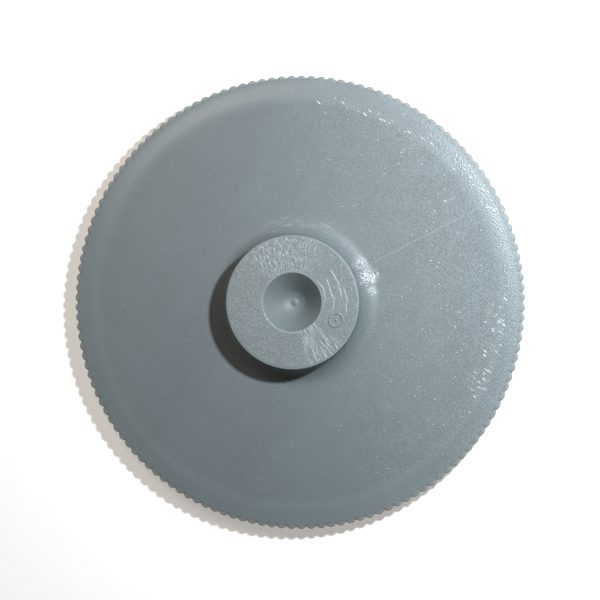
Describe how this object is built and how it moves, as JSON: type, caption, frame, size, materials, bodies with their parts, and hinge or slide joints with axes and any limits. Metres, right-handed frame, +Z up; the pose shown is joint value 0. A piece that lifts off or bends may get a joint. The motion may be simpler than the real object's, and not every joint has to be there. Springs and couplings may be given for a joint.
{
  "type": "banding wheel",
  "caption": "Low round turntable for decorating pots, with a toothed rim, a raised centre boss with a conical socket, and a ball bearing over a nested base on rubber feet.",
  "frame": {"origin": "middle of the underside, on the surface that the feet stand on", "axes": "+Z up along the wheel's axis of rotation; +X and +Y are free, because the wheel is round"},
  "size_m": [0.18, 0.18, 0.0203],
  "materials": {
    "head_plastic": "satin blue-grey moulding with fine flow marks",
    "base_plastic": "fine matte dark grey moulding",
    "race_steel": "turned and lightly oiled",
    "ball_steel": "polished bearing steel",
    "cage_nylon": "natural nylon",
    "insert_brass": "machined",
    "bush_bronze": "sintered, oil-filled",
    "screw_steel": "zinc plated",
    "foot_rubber": "matte black"
  },
  "bodies": {
    "base": {"base_plate": "base_plastic", "lower_race": "race_steel", "pivot_bush": "bush_bronze", "thrust_washer": "cage_nylon", "pivot_cap": "base_plastic", "foot_1": "foot_rubber", "foot_2": "foot_rubber", "foot_3": "foot_rubber", "foot_4": "foot_rubber", "foot_5": "foot_rubber"},
    "wheel": {"wheel_head": "head_plastic", "head_insert": "insert_brass", "upper_race": "race_steel", "retaining_washer": "screw_steel", "pivot_screw": "screw_steel"},
    "cage": {"ball_cage": "cage_nylon"},
    "ball_01": {"ball_01": "ball_steel"},
    "ball_02": {"ball_02": "ball_steel"},
    "ball_03": {"ball_03": "ball_steel"},
    "ball_04": {"ball_04": "ball_steel"},
    "ball_05": {"ball_05": "ball_steel"},
    "ball_06": {"ball_06": "ball_steel"},
    "ball_07": {"ball_07": "ball_steel"},
    "ball_08": {"ball_08": "ball_steel"},
    "ball_09": {"ball_09": "ball_steel"},
    "ball_10": {"ball_10": "ball_steel"},
    "ball_11": {"ball_11": "ball_steel"},
    "ball_12": {"ball_12": "ball_steel"},
    "ball_13": {"ball_13": "ball_steel"},
    "ball_14": {"ball_14": "ball_steel"},
    "ball_15": {"ball_15": "ball_steel"},
    "ball_16": {"ball_16": "ball_steel"}
  },
  "joints": [
    {"name": "head_spin", "type": "hinge", "parent": "base", "child": "wheel", "pos_m": [0, 0, 0.0088], "axis": [0, 0, 1], "continuous": true},
    {"name": "cage_spin", "type": "hinge", "parent": "base", "child": "cage", "pos_m": [0, 0, 0.00465], "axis": [0, 0, 1], "continuous": true},
    {"name": "ball_01_roll", "type": "hinge", "parent": "cage", "child": "ball_01", "pos_m": [0.06, 0, 0.00465], "axis": [1, 0, 0], "continuous": true},
    {"name": "ball_02_roll", "type": "hinge", "parent": "cage", "child": "ball_02", "pos_m": [0.05543, 0.02296, 0.00465], "axis": [0.9239, 0.3827, 0], "continuous": true},
    {"name": "ball_03_roll", "type": "hinge", "parent": "cage", "child": "ball_03", "pos_m": [0.04243, 0.04243, 0.00465], "axis": [0.7071, 0.7071, 0], "continuous": true},
    {"name": "ball_04_roll", "type": "hinge", "parent": "cage", "child": "ball_04", "pos_m": [0.02296, 0.05543, 0.00465], "axis": [0.3827, 0.9239, 0], "continuous": true},
    {"name": "ball_05_roll", "type": "hinge", "parent": "cage", "child": "ball_05", "pos_m": [0, 0.06, 0.00465], "axis": [0, 1, 0], "continuous": true},
    {"name": "ball_06_roll", "type": "hinge", "parent": "cage", "child": "ball_06", "pos_m": [-0.02296, 0.05543, 0.00465], "axis": [-0.3827, 0.9239, 0], "continuous": true},
    {"name": "ball_07_roll", "type": "hinge", "parent": "cage", "child": "ball_07", "pos_m": [-0.04243, 0.04243, 0.00465], "axis": [-0.7071, 0.7071, 0], "continuous": true},
    {"name": "ball_08_roll", "type": "hinge", "parent": "cage", "child": "ball_08", "pos_m": [-0.05543, 0.02296, 0.00465], "axis": [-0.9239, 0.3827, 0], "continuous": true},
    {"name": "ball_09_roll", "type": "hinge", "parent": "cage", "child": "ball_09", "pos_m": [-0.06, 0, 0.00465], "axis": [-1, 0, 0], "continuous": true},
    {"name": "ball_10_roll", "type": "hinge", "parent": "cage", "child": "ball_10", "pos_m": [-0.05543, -0.02296, 0.00465], "axis": [-0.9239, -0.3827, 0], "continuous": true},
    {"name": "ball_11_roll", "type": "hinge", "parent": "cage", "child": "ball_11", "pos_m": [-0.04243, -0.04243, 0.00465], "axis": [-0.7071, -0.7071, 0], "continuous": true},
    {"name": "ball_12_roll", "type": "hinge", "parent": "cage", "child": "ball_12", "pos_m": [-0.02296, -0.05543, 0.00465], "axis": [-0.3827, -0.9239, 0], "continuous": true},
    {"name": "ball_13_roll", "type": "hinge", "parent": "cage", "child": "ball_13", "pos_m": [0, -0.06, 0.00465], "axis": [0, -1, 0], "continuous": true},
    {"name": "ball_14_roll", "type": "hinge", "parent": "cage", "child": "ball_14", "pos_m": [0.02296, -0.05543, 0.00465], "axis": [0.3827, -0.9239, 0], "continuous": true},
    {"name": "ball_15_roll", "type": "hinge", "parent": "cage", "child": "ball_15", "pos_m": [0.04243, -0.04243, 0.00465], "axis": [0.7071, -0.7071, 0], "continuous": true},
    {"name": "ball_16_roll", "type": "hinge", "parent": "cage", "child": "ball_16", "pos_m": [0.05543, -0.02296, 0.00465], "axis": [0.9239, -0.3827, 0], "continuous": true}
  ],
  "couplings": [
    {"joint": "cage_spin", "follows": "head_spin", "ratio": 0.5},
    {"joint": "ball_01_roll", "follows": "head_spin", "ratio": -24},
    {"joint": "ball_02_roll", "follows": "head_spin", "ratio": -24},
    {"joint": "ball_03_roll", "follows": "head_spin", "ratio": -24},
    {"joint": "ball_04_roll", "follows": "head_spin", "ratio": -24},
    {"joint": "ball_05_roll", "follows": "head_spin", "ratio": -24},
    {"joint": "ball_06_roll", "follows": "head_spin", "ratio": -24},
    {"joint": "ball_07_roll", "follows": "head_spin", "ratio": -24},
    {"joint": "ball_08_roll", "follows": "head_spin", "ratio": -24},
    {"joint": "ball_09_roll", "follows": "head_spin", "ratio": -24},
    {"joint": "ball_10_roll", "follows": "head_spin", "ratio": -24},
    {"joint": "ball_11_roll", "follows": "head_spin", "ratio": -24},
    {"joint": "ball_12_roll", "follows": "head_spin", "ratio": -24},
    {"joint": "ball_13_roll", "follows": "head_spin", "ratio": -24},
    {"joint": "ball_14_roll", "follows": "head_spin", "ratio": -24},
    {"joint": "ball_15_roll", "follows": "head_spin", "ratio": -24},
    {"joint": "ball_16_roll", "follows": "head_spin", "ratio": -24}
  ]
}
